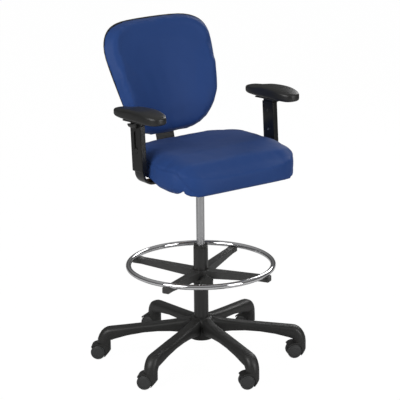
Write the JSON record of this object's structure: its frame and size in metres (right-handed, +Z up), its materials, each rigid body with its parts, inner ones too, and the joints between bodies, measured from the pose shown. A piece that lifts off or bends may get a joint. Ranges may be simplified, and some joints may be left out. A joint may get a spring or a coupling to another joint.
{
  "type": "drafting chair",
  "caption": "Tall swivel drafting chair with blue upholstery, adjustable T arms, chrome foot ring and a star base on twin-wheel casters.",
  "frame": {"origin": "on the floor, in the middle of the footprint", "axes": "+Z up, -Y the way the sitter faces, +X the sitter's left"},
  "size_m": [0.683, 0.7424, 1.1507],
  "materials": {
    "base": "satin moulded nylon",
    "hood": "satin",
    "wheel": "satin tread",
    "steel": "ground steel",
    "column": "satin powder coat",
    "bush": "matte",
    "chrome": "mirror",
    "tube": "satin chrome",
    "spider": "satin",
    "knob": "fine grain",
    "mechanism": "satin powder coat",
    "lever": "satin",
    "shell": "fine grain",
    "arm": "semi gloss",
    "strap": "gloss powder coat",
    "pad": "soft polyurethane skin",
    "board": "plywood",
    "cushion": "blue upholstery, satin sheen"
  },
  "bodies": {
    "base": {"base_star": "base", "column_tube": "column", "column_bush": "bush", "thrust_bearing": "steel", "caster_1_stem": "steel", "caster_2_stem": "steel", "caster_3_stem": "steel", "caster_4_stem": "steel", "caster_5_stem": "steel", "caster_6_stem": "steel"},
    "caster_1": {"caster_1_hood": "hood"},
    "caster_1_wheel_a": {"caster_1_wheel_a": "wheel"},
    "caster_1_wheel_b": {"caster_1_wheel_b": "wheel"},
    "caster_2": {"caster_2_hood": "hood"},
    "caster_2_wheel_a": {"caster_2_wheel_a": "wheel"},
    "caster_2_wheel_b": {"caster_2_wheel_b": "wheel"},
    "caster_3": {"caster_3_hood": "hood"},
    "caster_3_wheel_a": {"caster_3_wheel_a": "wheel"},
    "caster_3_wheel_b": {"caster_3_wheel_b": "wheel"},
    "caster_4": {"caster_4_hood": "hood"},
    "caster_4_wheel_a": {"caster_4_wheel_a": "wheel"},
    "caster_4_wheel_b": {"caster_4_wheel_b": "wheel"},
    "caster_5": {"caster_5_hood": "hood"},
    "caster_5_wheel_a": {"caster_5_wheel_a": "wheel"},
    "caster_5_wheel_b": {"caster_5_wheel_b": "wheel"},
    "caster_6": {"caster_6_hood": "hood"},
    "caster_6_wheel_a": {"caster_6_wheel_a": "wheel"},
    "caster_6_wheel_b": {"caster_6_wheel_b": "wheel"},
    "ring_carriage": {"foot_ring_liner": "bush"},
    "ring": {"foot_ring_spider": "spider", "foot_ring": "chrome"},
    "ring_knob": {"foot_ring_knob": "knob"},
    "swivel": {"piston_rod": "steel", "retaining_clip": "steel"},
    "lift": {"pressure_tube": "tube", "control_housing": "mechanism", "tilt_axle": "steel"},
    "valve": {"valve_pin": "steel"},
    "height_lever": {"height_lever": "lever"},
    "seat": {"seat_plate": "mechanism", "seat_board": "board", "seat_cushion": "cushion", "left_arm_bracket": "strap", "left_arm_sleeve": "arm", "right_arm_bracket": "strap", "right_arm_sleeve": "arm"},
    "recline": {"back_bar": "mechanism"},
    "backrest": {"back_carrier": "shell", "back_shell": "shell", "back_cushion": "cushion"},
    "tension_knob": {"tension_knob": "knob"},
    "tilt_lever": {"tilt_lever": "knob"},
    "left_post": {"left_arm_post": "arm"},
    "left_release": {"left_arm_release": "arm"},
    "left_pad": {"left_arm_pad_plate": "arm", "left_arm_pad": "pad"},
    "right_post": {"right_arm_post": "arm"},
    "right_release": {"right_arm_release": "arm"},
    "right_pad": {"right_arm_pad_plate": "arm", "right_arm_pad": "pad"}
  },
  "joints": [
    {"name": "caster_1_swivel", "type": "hinge", "parent": "base", "child": "caster_1", "pos_m": [0.28513, -0.20975, 0.056], "axis": [0, 0, 1], "continuous": true},
    {"name": "caster_1_spin_a", "type": "hinge", "parent": "caster_1", "child": "caster_1_wheel_a", "pos_m": [0.26686, -0.20161, 0.025], "axis": [-0.4067, -0.9135, 0], "continuous": true},
    {"name": "caster_1_spin_b", "type": "hinge", "parent": "caster_1", "child": "caster_1_wheel_b", "pos_m": [0.26686, -0.20161, 0.025], "axis": [-0.4067, -0.9135, 0], "continuous": true},
    {"name": "caster_2_swivel", "type": "hinge", "parent": "base", "child": "caster_2", "pos_m": [0.31856, 0.12519, 0.056], "axis": [0, 0, 1], "continuous": true},
    {"name": "caster_2_spin_a", "type": "hinge", "parent": "caster_2", "child": "caster_2_wheel_a", "pos_m": [0.30856, 0.14251, 0.025], "axis": [-0.866, -0.5, 0], "continuous": true},
    {"name": "caster_2_spin_b", "type": "hinge", "parent": "caster_2", "child": "caster_2_wheel_b", "pos_m": [0.30856, 0.14251, 0.025], "axis": [-0.866, -0.5, 0], "continuous": true},
    {"name": "caster_3_swivel", "type": "hinge", "parent": "base", "child": "caster_3", "pos_m": [0.04521, 0.32161, 0.056], "axis": [0, 0, 1], "continuous": true},
    {"name": "caster_3_spin_a", "type": "hinge", "parent": "caster_3", "child": "caster_3_wheel_a", "pos_m": [0.03551, 0.3391, 0.025], "axis": [-0.8746, -0.4848, 0], "continuous": true},
    {"name": "caster_3_spin_b", "type": "hinge", "parent": "caster_3", "child": "caster_3_wheel_b", "pos_m": [0.03551, 0.3391, 0.025], "axis": [-0.8746, -0.4848, 0], "continuous": true},
    {"name": "caster_4_swivel", "type": "hinge", "parent": "base", "child": "caster_4", "pos_m": [-0.26157, 0.18309, 0.056], "axis": [0, 0, 1], "continuous": true},
    {"name": "caster_4_spin_a", "type": "hinge", "parent": "caster_4", "child": "caster_4_wheel_a", "pos_m": [-0.27666, 0.19621, 0.025], "axis": [-0.6561, -0.7547, 0], "continuous": true},
    {"name": "caster_4_spin_b", "type": "hinge", "parent": "caster_4", "child": "caster_4_wheel_b", "pos_m": [-0.27666, 0.19621, 0.025], "axis": [-0.6561, -0.7547, 0], "continuous": true},
    {"name": "caster_5_swivel", "type": "hinge", "parent": "base", "child": "caster_5", "pos_m": [-0.295, -0.15184, 0.056], "axis": [0, 0, 1], "continuous": true},
    {"name": "caster_5_spin_a", "type": "hinge", "parent": "caster_5", "child": "caster_5_wheel_a", "pos_m": [-0.30889, -0.13746, 0.025], "axis": [-0.7193, -0.6947, 0], "continuous": true},
    {"name": "caster_5_spin_b", "type": "hinge", "parent": "caster_5", "child": "caster_5_wheel_b", "pos_m": [-0.30889, -0.13746, 0.025], "axis": [-0.7193, -0.6947, 0], "continuous": true},
    {"name": "caster_6_swivel", "type": "hinge", "parent": "base", "child": "caster_6", "pos_m": [-0.02165, -0.34826, 0.056], "axis": [0, 0, 1], "continuous": true},
    {"name": "caster_6_spin_a", "type": "hinge", "parent": "caster_6", "child": "caster_6_wheel_a", "pos_m": [-0.03978, -0.33981, 0.025], "axis": [-0.4226, -0.9063, 0], "continuous": true},
    {"name": "caster_6_spin_b", "type": "hinge", "parent": "caster_6", "child": "caster_6_wheel_b", "pos_m": [-0.03978, -0.33981, 0.025], "axis": [-0.4226, -0.9063, 0], "continuous": true},
    {"name": "foot_ring_slide", "type": "slide", "parent": "base", "child": "ring_carriage", "axis": [0, 0, 1], "range_m": [-0.08, 0.045]},
    {"name": "foot_ring_turn", "type": "hinge", "parent": "ring_carriage", "child": "ring", "pos_m": [0.01178, -0.01333, 0.3363], "axis": [0, 0, 1], "continuous": true},
    {"name": "ring_knob_turn", "type": "hinge", "parent": "ring", "child": "ring_knob", "pos_m": [-0.00326, -0.06101, 0.2909], "axis": [-0.3007, -0.9537, 0], "range_deg": [0, 360]},
    {"name": "seat_swivel", "type": "hinge", "parent": "base", "child": "swivel", "pos_m": [0.01178, -0.01333, 0.0723], "axis": [0, 0, 1], "continuous": true},
    {"name": "seat_lift", "type": "slide", "parent": "swivel", "child": "lift", "axis": [0, 0, 1], "range_m": [-0.15, 0.014]},
    {"name": "height_lever_lift", "type": "hinge", "parent": "lift", "child": "height_lever", "pos_m": [-0.03322, -0.01333, 0.6681], "axis": [0, 1, 0], "range_deg": [0, 3.5], "stiffness_Nm_per_rad": 1.2, "springref_deg": -4.58},
    {"name": "valve_push", "type": "slide", "parent": "lift", "child": "valve", "axis": [0, 0, 1], "range_m": [-0.0035, 0]},
    {"name": "seat_tilt", "type": "hinge", "parent": "lift", "child": "seat", "pos_m": [0.01178, -0.06833, 0.6546], "axis": [-1, 0, 0], "range_deg": [0, 3]},
    {"name": "back_recline", "type": "hinge", "parent": "lift", "child": "recline", "pos_m": [0.01178, 0.05867, 0.6506], "axis": [-1, 0, 0], "range_deg": [0, 12], "stiffness_Nm_per_rad": 60, "springref_deg": -20.05},
    {"name": "back_height", "type": "slide", "parent": "recline", "child": "backrest", "axis": [0, 0.2588, 0.9659], "range_m": [0, 0.05]},
    {"name": "tension_knob_turn", "type": "hinge", "parent": "lift", "child": "tension_knob", "pos_m": [0.07378, -0.09833, 0.6446], "axis": [1, 0, 0], "continuous": true},
    {"name": "tilt_lever_turn", "type": "hinge", "parent": "lift", "child": "tilt_lever", "pos_m": [0.07378, 0.01667, 0.6446], "axis": [1, 0, 0], "range_deg": [0, 20]},
    {"name": "left_arm_height", "type": "slide", "parent": "seat", "child": "left_post", "axis": [0, 0.061, 0.9981], "range_m": [0, 0.05]},
    {"name": "left_release_pull", "type": "slide", "parent": "left_post", "child": "left_release", "axis": [0, 0.061, 0.9981], "range_m": [0, 0.0035], "stiffness_N_per_m": 300, "springref_m": -0.004},
    {"name": "left_pad_turn", "type": "hinge", "parent": "left_post", "child": "left_pad", "pos_m": [0.28278, -0.05855, 0.67484], "axis": [0, 0.061, 0.9981], "range_deg": [-12, 12]},
    {"name": "right_arm_height", "type": "slide", "parent": "seat", "child": "right_post", "axis": [0, 0.061, 0.9981], "range_m": [0, 0.05]},
    {"name": "right_release_pull", "type": "slide", "parent": "right_post", "child": "right_release", "axis": [0, 0.061, 0.9981], "range_m": [0, 0.0035], "stiffness_N_per_m": 300, "springref_m": -0.004},
    {"name": "right_pad_turn", "type": "hinge", "parent": "right_post", "child": "right_pad", "pos_m": [-0.25922, -0.05855, 0.67484], "axis": [0, 0.061, 0.9981], "range_deg": [-12, 12]}
  ],
  "couplings": [
    {"joint": "valve_push", "follows": "height_lever_lift", "m_per_rad": -0.049}
  ]
}
